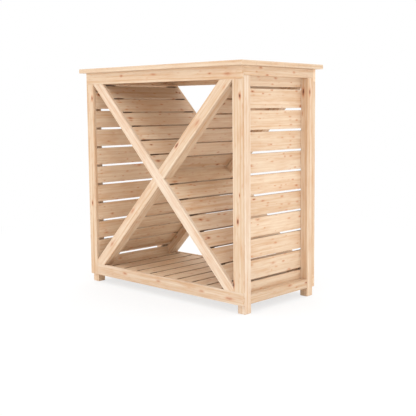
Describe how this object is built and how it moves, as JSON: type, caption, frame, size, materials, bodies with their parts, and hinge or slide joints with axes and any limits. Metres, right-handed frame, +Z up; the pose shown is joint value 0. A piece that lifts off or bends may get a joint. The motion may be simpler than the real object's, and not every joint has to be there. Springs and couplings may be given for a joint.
{
  "type": "log store",
  "caption": "Open pine log store with slatted sides and floor, a flat boarded roof, and slatted shelves crossing in an X to make triangular bays for firewood.",
  "frame": {"origin": "on the ground, under the middle of the store", "axes": "+X to the right seen from the front, +Y to the back, +Z up"},
  "size_m": [1.08, 0.55, 1.06],
  "materials": {
    "post_pine": "planed, untreated",
    "frame_pine": "planed, untreated",
    "slat_pine": "planed, untreated",
    "batten_pine": "planed, untreated",
    "roof_pine": "planed, untreated"
  },
  "bodies": {
    "root": {"front_left_post": "post_pine", "front_right_post": "post_pine", "back_left_post": "post_pine", "back_right_post": "post_pine", "left_top_rail": "post_pine", "right_top_rail": "post_pine", "left_bottom_rail": "post_pine", "right_bottom_rail": "post_pine", "front_top_rail": "frame_pine", "front_bottom_rail": "frame_pine", "front_left_stile": "frame_pine", "front_right_stile": "frame_pine", "front_falling_brace": "frame_pine", "front_rising_brace_upper": "frame_pine", "front_rising_brace_lower": "frame_pine", "back_top_rail": "frame_pine", "back_bottom_rail": "frame_pine", "back_left_stile": "frame_pine", "back_right_stile": "frame_pine", "back_falling_brace": "frame_pine", "back_rising_brace_upper": "frame_pine", "back_rising_brace_lower": "frame_pine", "front_falling_batten": "batten_pine", "front_rising_batten_upper": "batten_pine", "front_rising_batten_lower": "batten_pine", "back_falling_batten": "batten_pine", "back_rising_batten_upper": "batten_pine", "back_rising_batten_lower": "batten_pine", "falling_shelf_slats": "slat_pine", "rising_shelf_upper_slats": "slat_pine", "rising_shelf_lower_slats": "slat_pine", "left_wall_slats": "slat_pine", "right_wall_slats": "slat_pine", "front_floor_bearer": "batten_pine", "back_floor_bearer": "batten_pine", "floor_slats": "slat_pine", "roof_boards": "roof_pine"}
  },
  "joints": []
}
